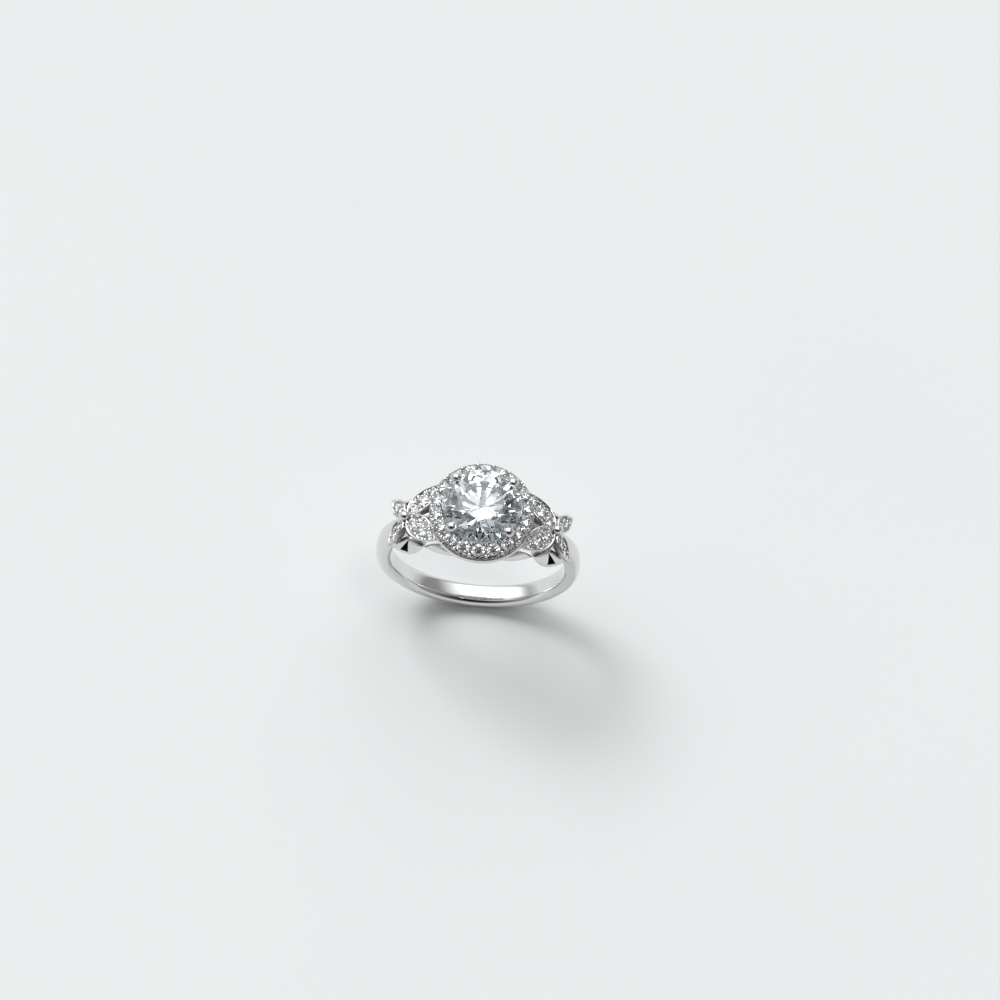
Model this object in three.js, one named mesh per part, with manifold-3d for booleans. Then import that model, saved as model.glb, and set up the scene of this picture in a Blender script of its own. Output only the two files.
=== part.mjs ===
// A halo engagement ring with a butterfly on each shoulder.
//
// Frame: millimetres, +Z up through the centre stone, Y along the finger, X across the ring.
// The origin is the centre of the finger hole. The ring mirrors itself in X and in Y, so every
// shoulder piece is shaped once, for the +X side at the front (-Y), and placed four times.
import * as THREE from "three";
import { mergeVertices } from "three/addons/utils/BufferGeometryUtils.js";
import Module from "manifold-3d";

const wasm = await Module();
wasm.setup();

// ---------------------------------------------------------------- driving dimensions, mm
const FINGER_R = 8.45; // ring size 6.5
const GAP = 0.03; // left between neighbouring pieces
const REACH = 3; // how far a cutting tool runs past what it cuts
const SLIVER = 0.004; // detail finer than this is left out

const GIRDLE_Z = 12.0; // height of the centre stone's girdle over the finger's axis
const CENTRE_D = 7.5;
const TABLE = 0.56; // table width, crown and pavilion angles of every stone
const CROWN_ANGLE = rad(34.5);
const PAVILION_ANGLE = rad(40.8);
const STAR = 0.8; // how far out the star facets reach, as a share of the radius
const LOWER_HALF = 0.24; // how far in the lower girdle facets reach
const GIRDLE = 0.03; // girdle thickness, as a share of the diameter

const SHANK_T = 1.55; // wall at the sides and the base
const SHOULDER_T = 2.0; // wall under the butterflies
const SHANK_HALF_W = 1.1;
const SHOULDER_HALF_W = 0.7;

const HALO_D = 1.25; // each halo stone
const HALO_R = 4.38; // circle of the halo stones' centres
const HALO_IN = 3.81;
const HALO_OUT = 4.95;
const HALO_TOP = -0.2; // inner and outer edge of the sloping face, from the girdle
const HALO_EDGE = -1.17;
const HALO_FOOT = -2.3;
const HALO_WALL = 0.55; // thickness of the halo's outer wall
const HALO_FACE = 0.5; // and of its sloping face
const HALO_LIP = 0.06; // how far the wall's foot stands out, and how tall that lip is
const LIP_TALL = 0.55;
const FRONT_STEP = 19; // degrees between stones in the five-stone groups, front and back
const SIDE_STEP = 18.5; // and in the four-stone groups at the sides

const PRONG_ANGLE = rad(43.5); // from the X axis
const PRONG_R = 0.3;
const CLAW_R = 0.5;
const CLAW_AT = 3.8; // distance of each claw from the stone's axis, and its height over the girdle
const CLAW_UP = 0.3;
const RAIL_R = 2.55; // base rail of the basket, half its width, and its lowest and highest edge
const RAIL_HALF = 0.36;
const RAIL_LOW = 7.9;
const RAIL_HIGH = 9.25;
const BASKET_R = 3.3; // middle rail of the basket, and half its width and height
const BASKET_Z = 10.45;
const BASKET_HALF = 0.24;
const BASKET_HALF_TALL = 0.26;
const PRONG_FOOT = 8.95; // height at which the prongs leave the base rail

const HUB = vec(7.36, 0, 8.15); // where a butterfly's four wings meet
const HUB_R = 0.5;
const TAIL = vec(8.1, 0, 7.15); // end of the butterfly's tapering tail, and its thickest radius
const TAIL_R = 0.26;
const BODY_UP = vec(0.77, 0, 0.64); // the way the body faces, out of the shoulder

// Each wing: where its tip lies, which way it faces, and the stones along it from the hub.
const BIG_WING = {
  tip: vec(4.12, -3.03, 9.78), facing: vec(0.6, -0.24, 1),
  start: 0.36, width: 2.4, base: 0.5, thick: 0.85,
  stones: [[1.2, 1.0], [2.46, 1.3], [3.66, 0.92]],
};
const SMALL_WING = {
  tip: vec(8.82, -2.4, 6.2), facing: vec(0.8, 0, 0.6),
  start: 0.4, width: 1.8, base: 0.42, thick: 0.7,
  stones: [[1.24, 0.78], [2.16, 0.88]],
};
const WING_RIM = 0.17;
const WING_FIELD = 0.1; // how deep the stones' field lies below the rim

// Side leaves: where each starts and ends and which way it faces. Across a leaf, minus is its back
// and plus its belly.
const PIERCED_LEAF = {
  from: vec(8.6, -2.02, 5.5), to: vec(5.26, -2.8, 7.55), facing: vec(0.42, -0.81, 0.4),
  thick: 0.75,
};
const GALLERY_LEAF = {
  from: vec(5.3, -2.84, 7.55), to: vec(2.1, -4.4, 9.7), facing: vec(0.42, -0.7, 0.58),
  thick: 0.45,
};

const POCKET = 0.6; // depth of the pierced leaf's pocket
const POCKET_CORNERS = [[0.58, -0.78], [0.08, 0.62], [-0.78, 0.36]]; // along and across the leaf
const STEM_FROM = vec(6.62, -1.78, 7.2); // a stem from the pierced leaf's peak to the wings
const STEM_TO = vec(7.12, -1.17, 7.6);
const STEM_R = 0.16;

const ROUND = 16; // sides of a small stone's girdle
const SEAT_SIDES = 12;
const HALO_SIDES = 54;
const RAIL_SIDES = 32;
const SHANK_STEPS = 64;

// ---------------------------------------------------------------- small helpers
function rad(degrees) {
  return (degrees * Math.PI) / 180;
}

function vec(x, y, z) {
  return new THREE.Vector3(x, y, z);
}

function polar(r, angle, z) {
  return vec(r * Math.cos(angle), r * Math.sin(angle), z);
}

// A rotation and place whose X runs along `along` and whose Z is as near `up` as it can be.
function frameAt(origin, along, up) {
  const x = along.clone().normalize();
  const y = new THREE.Vector3().crossVectors(up, x).normalize();
  const z = new THREE.Vector3().crossVectors(x, y);
  return new THREE.Matrix4().makeBasis(x, y, z).setPosition(origin);
}

// A closed three.js geometry as a manifold solid.
function solid(geometry, matrix) {
  const bare = geometry.index ? geometry.toNonIndexed() : geometry.clone();
  bare.deleteAttribute("normal");
  bare.deleteAttribute("uv");
  if (matrix) bare.applyMatrix4(matrix);
  const merged = mergeVertices(bare, 1e-5);
  const made = new wasm.Manifold(new wasm.Mesh({
    numProp: 3,
    vertProperties: merged.attributes.position.array,
    triVerts: new Uint32Array(merged.index.array),
  }));
  return made;
}

// A manifold solid as a three.js geometry, without the slivers that the cuts leave.
function geometryOf(body) {
  const mesh = body.simplify(SLIVER).getMesh();
  const points = new Float32Array(mesh.numVert * 3);
  for (let i = 0; i < mesh.numVert; i++) {
    points.set(mesh.vertProperties.subarray(i * mesh.numProp, i * mesh.numProp + 3), i * 3);
  }
  const geometry = new THREE.BufferGeometry();
  geometry.setAttribute("position", new THREE.BufferAttribute(points, 3));
  geometry.setIndex(new THREE.BufferAttribute(mesh.triVerts, 1));
  const flat = geometry.toNonIndexed();
  flat.computeVertexNormals();
  return flat;
}

// A lathe round +Z from [radius, height] pairs, listed from the lowest point upwards.
function turned(profile, sides) {
  const points = profile.map(([r, z]) => new THREE.Vector2(r, z));
  return new THREE.LatheGeometry(points, sides).rotateX(Math.PI / 2);
}

function mirrorMatrix(sideX, sideY) {
  return new THREE.Matrix4().makeScale(sideX, sideY, 1);
}

function moved(body, matrix) {
  return body.transform(matrix.elements);
}

// ---------------------------------------------------------------- stones
// Cuts a flat through `point`, facing `outward`.
function cutFlat(body, point, outward) {
  const inward = outward.clone().normalize().negate();
  return body.trimByPlane(inward.toArray(), inward.dot(point));
}

// Cuts the flat that holds three points of a stone round the origin.
function cutThrough(body, a, b, c) {
  const outward = b.clone().sub(a).cross(c.clone().sub(a));
  return cutFlat(body, a, outward.dot(a) < 0 ? outward.negate() : outward);
}

// A round brilliant, table up, its girdle centred on the origin. A full cut has stars and girdle
// facets; a single cut, as used for small stones, has eight flats above and eight below.
function brilliant(diameter, sides, fullCut) {
  const r = diameter / 2;
  const half = (GIRDLE * diameter) / 2;
  const tableR = TABLE * r;
  const crown = (r - tableR) * Math.tan(CROWN_ANGLE);
  const depth = r * Math.tan(PAVILION_ANGLE);
  const eighth = Math.PI / 4;
  // Heights of the edges where two neighbouring main facets meet, at a given radius.
  const crownEdge = (at) => half + (r - at * Math.cos(eighth / 2)) * Math.tan(CROWN_ANGLE);
  const pavilionEdge = (at) => -half - (r - at * Math.cos(eighth / 2)) * Math.tan(PAVILION_ANGLE);
  const star = STAR * r;
  const tail = LOWER_HALF * r;
  let body = solid(new THREE.CylinderGeometry(r, r, crown + depth + 2 * half, sides)
    .rotateX(Math.PI / 2).translate(0, 0, (crown - depth) / 2));
  for (let i = 0; i < 8; i++) {
    const main = i * eighth;
    body = cutFlat(body, polar(r, main, half), polar(Math.sin(CROWN_ANGLE), main, Math.cos(CROWN_ANGLE)));
    body = cutFlat(body, polar(r, main, -half),
      polar(Math.sin(PAVILION_ANGLE), main, -Math.cos(PAVILION_ANGLE)));
    if (!fullCut) continue;
    const between = main + eighth / 2;
    const starTip = polar(star, between, crownEdge(star));
    const tailTip = polar(tail, between, pavilionEdge(tail));
    body = cutThrough(body, starTip, polar(tableR, main, half + crown),
      polar(tableR, main + eighth, half + crown));
    for (const end of [main, main + eighth]) {
      body = cutThrough(body, starTip, polar(r, between, half), polar(r, end, half));
      body = cutThrough(body, tailTip, polar(r, between, -half), polar(r, end, -half));
    }
  }
  return body;
}

// The hole a stone sits in: straight past the girdle, then tapering out of the back.
function seat(diameter) {
  const r = diameter / 2 + GAP;
  const floor = -(GIRDLE * diameter) / 2 - GAP;
  const tail = floor - r * 0.7 * Math.tan(PAVILION_ANGLE + rad(4));
  return solid(turned(
    [[0, -REACH], [r * 0.3, -REACH], [r * 0.3, tail], [r, floor], [r, REACH], [0, REACH]], SEAT_SIDES));
}

// ---------------------------------------------------------------- centre stone and halo
function centreStone() {
  return brilliant(CENTRE_D, 64, true).translate([0, 0, GIRDLE_Z]);
}

// Angles of the halo stones round +Z: five in front, five behind, four at each side.
function haloAngles() {
  const angles = [];
  for (const middle of [-90, 90]) {
    for (let k = -2; k <= 2; k++) angles.push(rad(middle + k * FRONT_STEP));
  }
  for (const middle of [0, 180]) {
    for (let k = -1.5; k <= 1.5; k++) angles.push(rad(middle + k * SIDE_STEP));
  }
  return angles;
}

// The place of one halo stone: its girdle lies in the sloping face.
function haloFrame(angle) {
  const slope = Math.atan((HALO_TOP - HALO_EDGE) / (HALO_OUT - HALO_IN));
  const z = GIRDLE_Z + HALO_TOP - (HALO_R - HALO_IN) * Math.tan(slope);
  const out = polar(Math.sin(slope), angle, Math.cos(slope));
  return frameAt(polar(HALO_R, angle, z), polar(Math.cos(slope), angle, -Math.sin(slope)), out);
}

function haloPlate(prongs) {
  const z = GIRDLE_Z;
  const wall = HALO_OUT - HALO_WALL;
  const lip = HALO_OUT + HALO_LIP;
  const lipTop = z + HALO_FOOT + LIP_TALL;
  let body = solid(turned([
    [wall, z + HALO_FOOT], [lip, z + HALO_FOOT], [lip, lipTop], [HALO_OUT, lipTop + 2 * HALO_LIP],
    [HALO_OUT, z + HALO_EDGE], [HALO_IN, z + HALO_TOP], [HALO_IN, z + HALO_TOP - HALO_FACE],
    [wall, z + HALO_EDGE - HALO_FACE], [wall, z + HALO_FOOT],
  ], HALO_SIDES));
  const hole = seat(HALO_D);
  for (const angle of haloAngles()) body = body.subtract(moved(hole, haloFrame(angle)));
  return body.subtract(prongs);
}

// The space the halo takes up over the wings and leaves that end beneath it.
function haloRoom() {
  const r = HALO_OUT + HALO_LIP + GAP;
  const tall = 4;
  return solid(new THREE.CylinderGeometry(r, r, tall, HALO_SIDES).rotateX(Math.PI / 2)
    .translate(0, 0, GIRDLE_Z + HALO_FOOT - GAP + tall / 2));
}

// ---------------------------------------------------------------- basket
// One prong: up and out from the base rail, past the girdle, and over the crown as a claw.
function prong(angle, swell) {
  const foot = polar(RAIL_R, angle, PRONG_FOOT);
  const knee = polar(CLAW_AT + 0.06, angle, GIRDLE_Z - 0.5);
  const top = polar(CLAW_AT, angle, GIRDLE_Z + CLAW_UP);
  const path = new THREE.CatmullRomCurve3([foot, knee, top]);
  const section = new THREE.Shape().absarc(0, 0, PRONG_R + swell, 0, Math.PI * 2);
  const stem = new THREE.ExtrudeGeometry(section, {
    steps: 6, curveSegments: 4, extrudePath: path, bevelEnabled: false,
  });
  const claw = new THREE.SphereGeometry(CLAW_R + swell, 12, 8).scale(1, 1, 0.85)
    .translate(...polar(CLAW_AT, angle, GIRDLE_Z + CLAW_UP).toArray());
  return solid(stem).add(solid(claw));
}

function prongAngles() {
  return [PRONG_ANGLE, Math.PI - PRONG_ANGLE, Math.PI + PRONG_ANGLE, -PRONG_ANGLE];
}

// A ring with a rounded section round +Z.
function rail(radius, half, low, high) {
  const c = Math.min(half, (high - low) / 2) * 0.45;
  return solid(turned([
    [radius - half + c, low], [radius + half - c, low], [radius + half, low + c],
    [radius + half, high - c], [radius + half - c, high], [radius - half + c, high],
    [radius - half, high - c], [radius - half, low + c], [radius - half + c, low],
  ], RAIL_SIDES));
}

function fingerHole(extra) {
  return solid(new THREE.CylinderGeometry(FINGER_R + extra, FINGER_R + extra, 40, 96));
}

function head(stone) {
  let body = rail(RAIL_R, RAIL_HALF, RAIL_LOW, RAIL_HIGH)
    .add(rail(BASKET_R, BASKET_HALF, BASKET_Z - BASKET_HALF_TALL, BASKET_Z + BASKET_HALF_TALL));
  for (const angle of prongAngles()) body = body.add(prong(angle, 0));
  return body.subtract(stone).subtract(fingerHole(0));
}

// ---------------------------------------------------------------- wings
// Outline of a wing from its blunt base at x = 0 to its sharp tip at x = length.
function wingOutline(length, width, base, inset) {
  const w = width / 2 - inset;
  const b = base / 2 - inset * 0.45;
  const tip = length - inset * 2.4;
  const shape = new THREE.Shape();
  shape.moveTo(inset, -b);
  shape.bezierCurveTo(length * 0.12, -w * 1.1, length * 0.55, -w * 1.42, tip, 0);
  shape.bezierCurveTo(length * 0.55, w * 1.42, length * 0.12, w * 1.1, inset, b);
  shape.lineTo(inset, -b);
  return shape;
}

function wingLength(wing) {
  return wing.tip.distanceTo(HUB) - wing.start;
}

function wingFrame(wing) {
  const along = wing.tip.clone().sub(HUB).normalize();
  return frameAt(HUB.clone().addScaledVector(along, wing.start), along, wing.facing);
}

// The wing's block without its field or seats, grown by `swell`, from `thick` below its face up.
function wingBlock(wing, swell, above) {
  const outline = wingOutline(wingLength(wing), wing.width, wing.base, -swell);
  const block = new THREE.ExtrudeGeometry(outline, {
    depth: wing.thick + swell + above, steps: 1, curveSegments: 9, bevelEnabled: false,
  }).translate(0, 0, -wing.thick - swell);
  return solid(block, wingFrame(wing));
}

function wingPlate(wing) {
  const frame = wingFrame(wing);
  const field = new THREE.ExtrudeGeometry(
    wingOutline(wingLength(wing), wing.width, wing.base, WING_RIM),
    { depth: 1, steps: 1, curveSegments: 9, bevelEnabled: false },
  ).translate(0, 0, -WING_FIELD);
  let body = wingBlock(wing, 0, 0).subtract(solid(field, frame));
  for (const place of wingStonePlaces(wing)) {
    body = body.subtract(moved(seat(place.diameter), place.frame));
  }
  return body;
}

function wingStonePlaces(wing) {
  return wing.stones.map(([along, diameter]) => ({
    diameter,
    frame: wingFrame(wing).multiply(
      new THREE.Matrix4().makeTranslation(along - wing.start, 0, -WING_FIELD)),
  }));
}

// The butterfly's body: a bead at the hub with a short tail between the small wings.
function butterflyBody(swell) {
  const along = TAIL.clone().sub(HUB);
  const length = along.length();
  const bead = new THREE.SphereGeometry(HUB_R + swell, 16, 10);
  const belly = new THREE.LatheGeometry([
    new THREE.Vector2(0, 0), new THREE.Vector2(TAIL_R + swell, length * 0.25),
    new THREE.Vector2(TAIL_R + swell, length * 0.6), new THREE.Vector2(0, length + swell),
  ], 12).rotateZ(-Math.PI / 2);
  return solid(bead, new THREE.Matrix4().makeTranslation(HUB))
    .add(solid(belly, frameAt(HUB.clone().addScaledVector(BODY_UP, -HUB_R / 2), along, BODY_UP)));
}

// ---------------------------------------------------------------- side leaves
function leafFrame(leaf) {
  return frameAt(leaf.from.clone().lerp(leaf.to, 0.5), leaf.to.clone().sub(leaf.from), leaf.facing);
}

// Outline of the pierced leaf: its back rises to a low peak, its belly is round.
function piercedOutline(half, swell) {
  const shape = new THREE.Shape();
  shape.moveTo(-half - swell, 0);
  shape.quadraticCurveTo(-0.35, -0.6 - swell, 0.62, -0.95 - swell);
  shape.quadraticCurveTo(1.4, -0.85 - swell, half + swell, 0);
  shape.quadraticCurveTo(-0.1, 2.05 + 2 * swell, -half - swell, 0);
  return shape;
}

// Outline of the gallery leaf: its back is arched and its belly nearly straight.
function galleryOutline(half, swell) {
  const shape = new THREE.Shape();
  shape.moveTo(-half - swell, 0);
  shape.quadraticCurveTo(0, -1.3 - 2 * swell, half + swell, -0.2);
  shape.lineTo(half + swell, 0.05);
  shape.quadraticCurveTo(0.2, 0.55 + 2 * swell, -half - swell, 0);
  return shape;
}

function leafBlock(leaf, outline, swell) {
  const block = new THREE.ExtrudeGeometry(outline(leaf.from.distanceTo(leaf.to) / 2, swell), {
    depth: leaf.thick + swell * 2, steps: 1, curveSegments: 7, bevelEnabled: false,
  }).translate(0, 0, -leaf.thick - swell);
  return solid(block, leafFrame(leaf));
}

// A short stem from the pierced leaf's peak up to the underside of the wings.
function leafStem() {
  const length = STEM_FROM.distanceTo(STEM_TO);
  const stem = new THREE.CylinderGeometry(STEM_R, STEM_R, length, 8)
    .rotateZ(-Math.PI / 2).translate(length / 2, 0, 0);
  return solid(stem, frameAt(STEM_FROM, STEM_TO.clone().sub(STEM_FROM), PIERCED_LEAF.facing));
}

// The pierced leaf has a deep three-cornered pocket that hangs from its peak.
function piercedLeaf() {
  const opening = new THREE.Shape(POCKET_CORNERS.map(([x, y]) => new THREE.Vector2(x, y)));
  const tool = new THREE.ExtrudeGeometry(opening, { depth: REACH, steps: 1, bevelEnabled: false })
    .translate(0, 0, -POCKET);
  const leaf = leafBlock(PIERCED_LEAF, piercedOutline, 0);
  return leaf.add(leafStem()).subtract(solid(tool, leafFrame(PIERCED_LEAF)));
}

// ---------------------------------------------------------------- shank
// Half of the shank's section: share of the wall from the finger outwards, share of the half width.
const SECTION = [[0, 0.86], [0.1, 1], [0.6, 1], [0.86, 0.74], [1, 0.28]];

function shankBlank() {
  const lower = SECTION.map(([u, v]) => new THREE.Vector2(1 + u, -v));
  const upper = [...SECTION].reverse().map(([u, v]) => new THREE.Vector2(1 + u, v));
  const geometry = new THREE.LatheGeometry([...lower, ...upper, lower[0].clone()], SHANK_STEPS);
  const at = geometry.attributes.position;
  for (let i = 0; i < at.count; i++) {
    const angle = Math.atan2(at.getZ(i), at.getX(i));
    const rise = THREE.MathUtils.smoothstep(Math.sin(angle), 0.05, 0.62);
    const wall = THREE.MathUtils.lerp(SHANK_T, SHOULDER_T, rise);
    const halfWidth = THREE.MathUtils.lerp(SHANK_HALF_W, SHOULDER_HALF_W, rise);
    const r = FINGER_R + (Math.hypot(at.getX(i), at.getZ(i)) - 1) * wall;
    at.setXYZ(i, r * Math.cos(angle), at.getY(i) * halfWidth, r * Math.sin(angle));
  }
  return solid(geometry);
}

function shank() {
  // The top is cut away round the basket's base rail.
  const wellR = RAIL_R + RAIL_HALF + GAP;
  const well = new THREE.CylinderGeometry(wellR, wellR, 6, 40).rotateX(Math.PI / 2).translate(0, 0, 10);
  let body = shankBlank().subtract(solid(well));
  for (const sideX of [1, -1]) {
    body = body.subtract(moved(butterflyBody(GAP), mirrorMatrix(sideX, 1)));
    for (const sideY of [1, -1]) {
      const mirror = mirrorMatrix(sideX, sideY);
      for (const tool of [
        wingBlock(BIG_WING, GAP, 1), wingBlock(SMALL_WING, GAP, 1),
        leafBlock(PIERCED_LEAF, piercedOutline, GAP),
      ]) body = body.subtract(moved(tool, mirror));
    }
  }
  return body;
}

// ---------------------------------------------------------------- assembly
const METAL = { color: 0xd9dadb, roughness: 0.14, metalness: 1 };
const CLEAR = { color: 0xf2f8fc, roughness: 0.02, metalness: 0 };

function shown(name, geometry, look) {
  const mesh = new THREE.Mesh(geometry, new THREE.MeshStandardMaterial(look));
  mesh.name = name;
  return mesh;
}

function haloStones() {
  const group = new THREE.Group();
  const cut = geometryOf(brilliant(HALO_D, ROUND, false));
  haloAngles().forEach((angle, i) => {
    const stone = shown(`halo_stone_${String(i + 1).padStart(2, "0")}`, cut, CLEAR);
    stone.applyMatrix4(haloFrame(angle));
    group.add(stone);
  });
  return group;
}

// The part of a body on the front side of the ring's middle plane.
function frontHalf(body) {
  return body.trimByPlane([0, -1, 0], GAP / 2);
}

// Everything on one quarter of the shoulders, and its mirror images.
function shoulders() {
  const group = new THREE.Group();
  const body = butterflyBody(0);
  const bodyRoom = butterflyBody(GAP);
  const bigRoom = wingBlock(BIG_WING, GAP, 0);
  const big = frontHalf(wingPlate(BIG_WING)).subtract(bodyRoom).subtract(haloRoom());
  const small = frontHalf(wingPlate(SMALL_WING)).subtract(bodyRoom).subtract(bigRoom);
  const pierced = piercedLeaf().subtract(bigRoom).subtract(wingBlock(SMALL_WING, GAP, 0));
  const gallery = leafBlock(GALLERY_LEAF, galleryOutline, 0).subtract(bigRoom).subtract(haloRoom())
    .subtract(leafBlock(PIERCED_LEAF, piercedOutline, GAP));
  const plates = { big_wing: big, small_wing: small, pierced_leaf: pierced, gallery_leaf: gallery };
  for (const [sideX, sideName] of [[1, "right"], [-1, "left"]]) {
    const half = new THREE.Group();
    half.scale.set(sideX, 1, 1);
    half.add(shown(`butterfly_body_${sideName}`, geometryOf(body), METAL));
    for (const [sideY, endName] of [[1, "front"], [-1, "back"]]) {
      const quarter = new THREE.Group();
      quarter.scale.set(1, sideY, 1);
      const where = `${sideName}_${endName}`;
      for (const [kind, plate] of Object.entries(plates)) {
        quarter.add(shown(`${kind}_${where}`, geometryOf(plate), METAL));
      }
      for (const [kind, wing] of [["big", BIG_WING], ["small", SMALL_WING]]) {
        wingStonePlaces(wing).forEach((place, i) => {
          const cut = geometryOf(brilliant(place.diameter, ROUND, false));
          const stone = shown(`${kind}_wing_stone_${where}_${i + 1}`, cut, CLEAR);
          stone.applyMatrix4(place.frame);
          quarter.add(stone);
        });
      }
      half.add(quarter);
    }
    group.add(half);
  }
  return group;
}

function ring() {
  const stone = centreStone();
  const stoneRoom = brilliant(CENTRE_D + 2 * GAP, 64, true).translate([0, 0, GIRDLE_Z]);
  let prongRoom = prong(prongAngles()[0], GAP);
  for (const angle of prongAngles().slice(1)) prongRoom = prongRoom.add(prong(angle, GAP));
  const group = new THREE.Group();
  group.add(shown("shank", geometryOf(shank()), METAL));
  group.add(shown("prong_head", geometryOf(head(stoneRoom)), METAL));
  group.add(shown("halo_plate", geometryOf(haloPlate(prongRoom)), METAL));
  group.add(shown("centre_stone", geometryOf(stone), CLEAR));
  group.add(haloStones());
  group.add(shoulders());
  return group;
}

export default ring();
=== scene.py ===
import math

import bmesh
import bpy
from mathutils import Matrix, Vector
from mathutils.geometry import interpolate_bezier


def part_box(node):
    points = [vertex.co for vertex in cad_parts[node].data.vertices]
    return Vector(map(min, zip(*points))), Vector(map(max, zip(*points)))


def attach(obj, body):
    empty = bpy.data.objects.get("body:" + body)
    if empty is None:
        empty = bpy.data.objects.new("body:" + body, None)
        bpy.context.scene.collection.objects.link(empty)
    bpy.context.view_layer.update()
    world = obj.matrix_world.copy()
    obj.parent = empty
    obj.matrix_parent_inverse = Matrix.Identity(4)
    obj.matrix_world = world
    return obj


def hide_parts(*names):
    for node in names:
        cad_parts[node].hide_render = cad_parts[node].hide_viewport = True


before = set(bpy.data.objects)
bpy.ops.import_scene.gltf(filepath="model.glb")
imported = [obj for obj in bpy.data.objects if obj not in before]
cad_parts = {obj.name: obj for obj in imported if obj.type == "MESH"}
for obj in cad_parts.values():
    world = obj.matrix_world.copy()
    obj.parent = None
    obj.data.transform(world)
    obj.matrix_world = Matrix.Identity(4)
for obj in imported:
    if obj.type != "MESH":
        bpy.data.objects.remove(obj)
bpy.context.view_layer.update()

# ---------------------------------------------------------------- dimensions, in millimetres
MM = 0.001

# Read from the frame.
STONE_LOW, STONE_HIGH = (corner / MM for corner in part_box("centre_stone"))
SHANK_LOW, SHANK_HIGH = (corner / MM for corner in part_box("shank"))
CENTRE_D = STONE_HIGH.x - STONE_LOW.x
GIRDLE_Z = 12.0  # height of the centre stone's girdle over the finger's axis

# Shank.
FINGER_R = 8.45
SHANK_T = SHANK_HIGH.x - FINGER_R  # its wall at the base, and under the butterflies
SHOULDER_T = 2.0
SHANK_HALF_W = SHANK_HIGH.y
SHOULDER_HALF_W = 0.7
SHANK_OPEN = math.radians(17)  # half the arc that the basket takes up at the top
SHOULDER_STARTS, SHOULDER_FULL = 0.05, 0.62  # where the wall starts to change, and where it has, as a sine
INSIDE_POWER, OUTSIDE_POWER = 3.4, 2.3  # how square the section is towards the finger, and away from it

# Every stone's cut, its lengths as shares of the stone's radius.
TABLE = 0.56
CROWN_ANGLE = math.radians(34.5)
PAVILION_ANGLE = math.radians(40.8)
STAR = 0.8  # how far out the star facets reach
LOWER_HALF = 0.24  # how far in the lower girdle facets reach
GIRDLE = 0.03  # half of the girdle's height

# The stones' seats.
SEAT_ROOM = 0.02  # left round each stone
SEAT_REACH = 1.5  # how far the cutter runs above and below the girdle

# Halo, its heights counted from the girdle.
HALO_D = 1.25
HALO_R = 4.38
HALO_IN = 3.81
HALO_OUT = 4.95
HALO_TOP = -0.2
HALO_EDGE = -1.17
HALO_FOOT = -2.3
HALO_WALL = 0.55  # thickness of the outer wall, and of the face's inner edge and underside
HALO_INNER_EDGE = 0.5
HALO_UNDERSIDE = 0.45
HALO_RIM = 0.07  # how far the polished rim stands out below the stones
FRONT_STEP = 19  # degrees between the stones in front and behind, and at the sides
SIDE_STEP = 18.5
WIDE_BREAK = 0.4  # a wider break than this between two stones takes two grains side by side
GRAIN_SHIFT = 0.16
HALO_GRAINS = [(-0.42, 0.11), (0.4, 0.2)]  # how far each row of grains stands out, and its grains' radius
NOTCH = (0.35, 0.34, 0.4, 0.34)  # where a notch starts, half its width, how far it runs up, and how deep
NOTCH_LENGTH = 1.2
HALO_SLOPE = math.atan((HALO_TOP - HALO_EDGE) / (HALO_OUT - HALO_IN))

# Basket: four prongs with claws, a base rail and a middle rail.
PRONG_ANGLE = math.radians(43.5)  # from the X axis
PRONG_R = 0.3
PRONG_FOOT_Z = 8.7
CLAW_R = 0.5
CLAW_AT = 3.8  # distance of each claw from the stone's axis, and its height over the girdle
CLAW_UP = 0.3
RAIL_R = 2.55
RAIL_HALF = 0.36
RAIL_LOW, RAIL_HIGH = 8.0, 9.25
RAIL_ROUND = 0.12
BASKET_R = 3.3
BASKET_Z = 10.45
BASKET_HALF = 0.24
BASKET_HALF_TALL = 0.26
BASKET_ROUND = 0.16

# Butterflies. Shapes are given for the +X side at the front.
HUB = Vector((7.36, 0, 8.15))  # where a butterfly's four wings meet
HUB_R = 0.5
TAIL = Vector((8.1, 0, 7.15))
TAIL_R = 0.26
BODY_UP = Vector((0.77, 0, 0.64))
WING_RIM = 0.19
WING_FIELD = 0.1  # how deep the stones' field lies below the rim
WALL_TOP = -0.14  # a wing's wall gets painted shade below this
WING_GRAIN = 0.15
GRAIN_CORNER = 0.7  # radians off the wing's axis at which a stone's four grains stand

# A wing starts some way from the hub, where its base is that wide. Each of its stones is given as its
# distance from the hub and its diameter.
BIG_WING = {
    "tip": Vector((4.12, -3.03, 9.78)), "facing": Vector((0.6, -0.24, 1)),
    "start": 0.36, "width": 2.4, "base": 0.5, "thick": 0.85,
    "stones": [(1.2, 1.0), (2.46, 1.3), (3.66, 0.92)],
}
SMALL_WING = {
    "tip": Vector((8.82, -2.4, 6.2)), "facing": Vector((0.8, 0.0, 0.6)),
    "start": 0.4, "width": 1.8, "base": 0.42, "thick": 0.7,
    "stones": [(1.24, 0.78), (2.16, 0.88)],
}

# Side leaves, each from tip to tip.
PIERCED_LEAF = {
    "from": Vector((8.6, -2.02, 5.5)), "to": Vector((5.26, -2.8, 7.55)),
    "facing": Vector((0.42, -0.81, 0.4)), "thick": 0.75,
}
GALLERY_LEAF = {
    "from": Vector((5.3, -2.84, 7.55)), "to": Vector((2.1, -4.4, 9.7)),
    "facing": Vector((0.42, -0.7, 0.58)), "thick": 0.45,
}
POCKET = 0.6  # depth of the three-cornered window
POCKET_CORNERS = [(0.58, -0.78), (0.08, 0.62), (-0.78, 0.36)]
STEM_FROM = Vector((6.62, -1.78, 7.2))  # short stem that joins the leaf to the shank
STEM_TO = Vector((7.12, -1.17, 7.6))
STEM_R = 0.17
STEM_TOP_R = 0.16
STEM_SUNK = 0.15  # how far each end of the stem runs on into what it joins

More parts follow.
